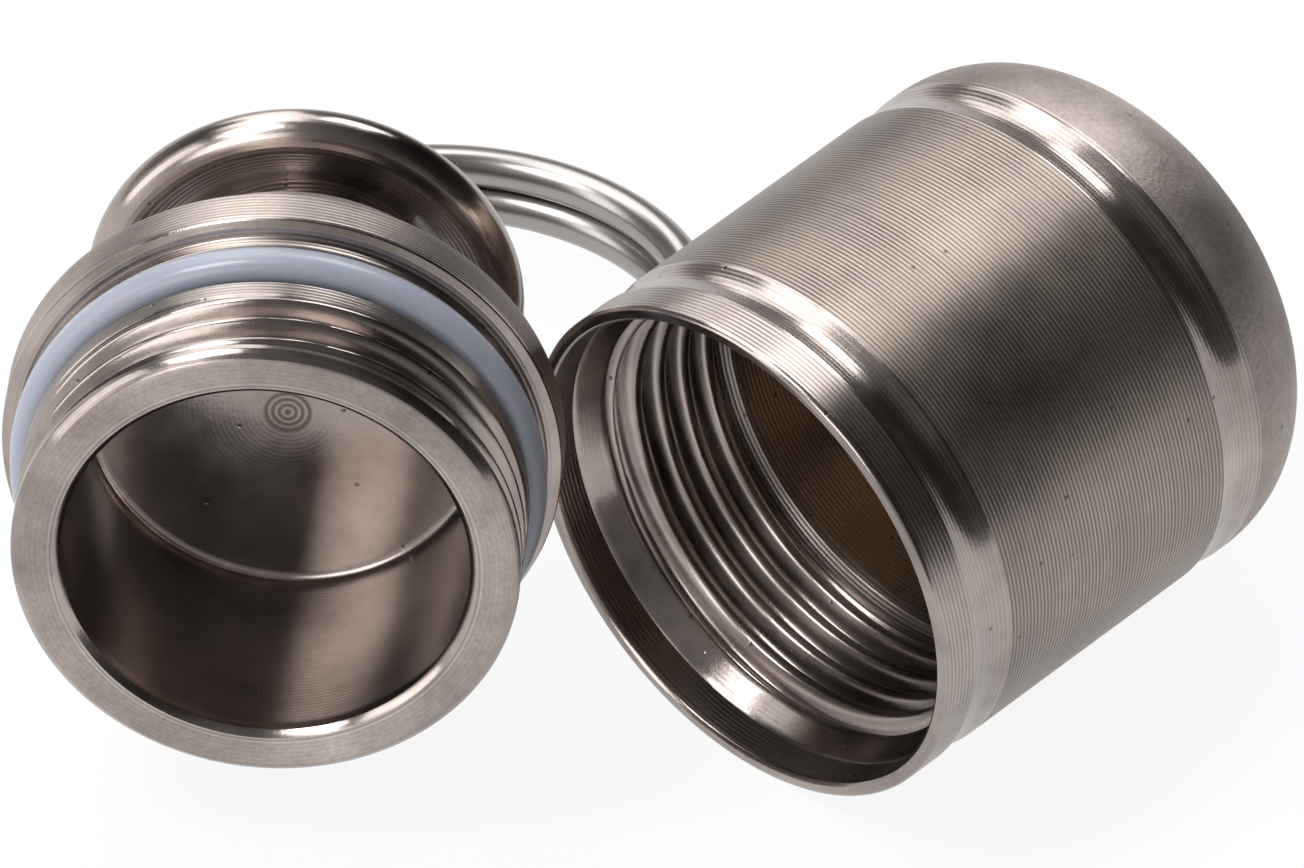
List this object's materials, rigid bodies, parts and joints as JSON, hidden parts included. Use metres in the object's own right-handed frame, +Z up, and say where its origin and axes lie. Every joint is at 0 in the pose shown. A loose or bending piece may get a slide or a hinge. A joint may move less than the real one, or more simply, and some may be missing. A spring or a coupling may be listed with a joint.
{
  "type": "screw top capsule",
  "caption": "Small turned metal capsule with a domed end, a screw cap with a seal ring, and a split ring through the cap's spool-shaped tail.",
  "frame": {"origin": "middle of the footprint, on the table the body lies on", "axes": "+Z up, +X to the right and +Y away as the picture shows the parts lying"},
  "size_m": [0.037, 0.0284, 0.0171],
  "materials": {
    "turned_titanium": "bare titanium, fine turned feed marks, satin",
    "translucent_silicone": "milky translucent silicone, smooth",
    "polished_wire": "polished round spring wire"
  },
  "bodies": {
    "capsule": {"capsule_body": "turned_titanium"},
    "cap": {"screw_cap": "turned_titanium"},
    "seal": {"seal_ring": "translucent_silicone"},
    "ring": {"split_ring": "polished_wire"}
  },
  "joints": [
    {"name": "cap_lift", "type": "slide", "parent": "capsule", "child": "cap", "axis": [0, 0, 1], "range_m": [0, 0.03]},
    {"name": "seal_turn", "type": "hinge", "parent": "cap", "child": "seal", "pos_m": [-0.01062, -0.00688, 0.00933], "axis": [-0.0732, -0.9886, 0.1315], "continuous": true},
    {"name": "ring_slip", "type": "hinge", "parent": "cap", "child": "ring", "pos_m": [-0.00565, 0.00663, 0.00339], "axis": [0.066, 0.153, 0.986], "continuous": true}
  ]
}
